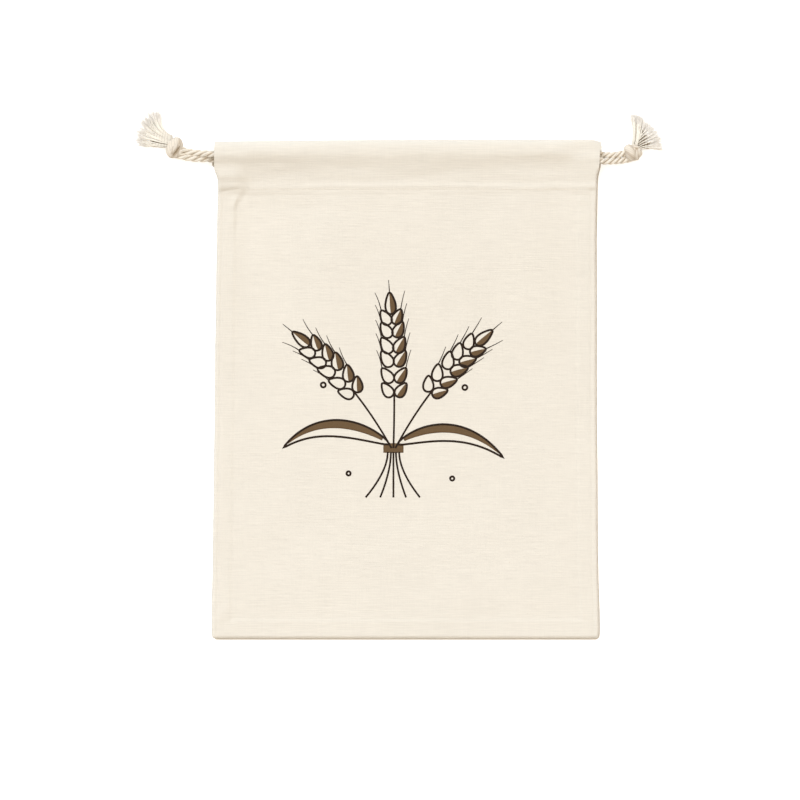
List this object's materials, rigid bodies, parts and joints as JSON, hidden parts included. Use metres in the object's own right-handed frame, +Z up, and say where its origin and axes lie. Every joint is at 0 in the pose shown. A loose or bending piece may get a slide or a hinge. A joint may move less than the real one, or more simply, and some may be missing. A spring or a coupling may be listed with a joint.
{
  "type": "canvas drawstring bread bag",
  "caption": "Flat empty canvas bread bag with a hem channel at the mouth and two twisted drawstrings, each knotted with a tassel.",
  "frame": {"origin": "centre of the two panels' box, on the surface that the bag lies on", "axes": "+X to the right of the printed front, +Y from the bottom seam to the mouth, +Z up out of the printed front"},
  "size_m": [0.4148, 0.4166, 0.0201],
  "materials": {
    "canvas": "matte",
    "cotton_cord": "matte",
    "print_ink": "matte",
    "sewing_thread": "matte"
  },
  "bodies": {
    "root": {"front_panel": "canvas", "back_panel": "canvas", "drawstring_left": "cotton_cord", "drawstring_right": "cotton_cord", "knot_left": "cotton_cord", "knot_right": "cotton_cord"}
  },
  "joints": []
}
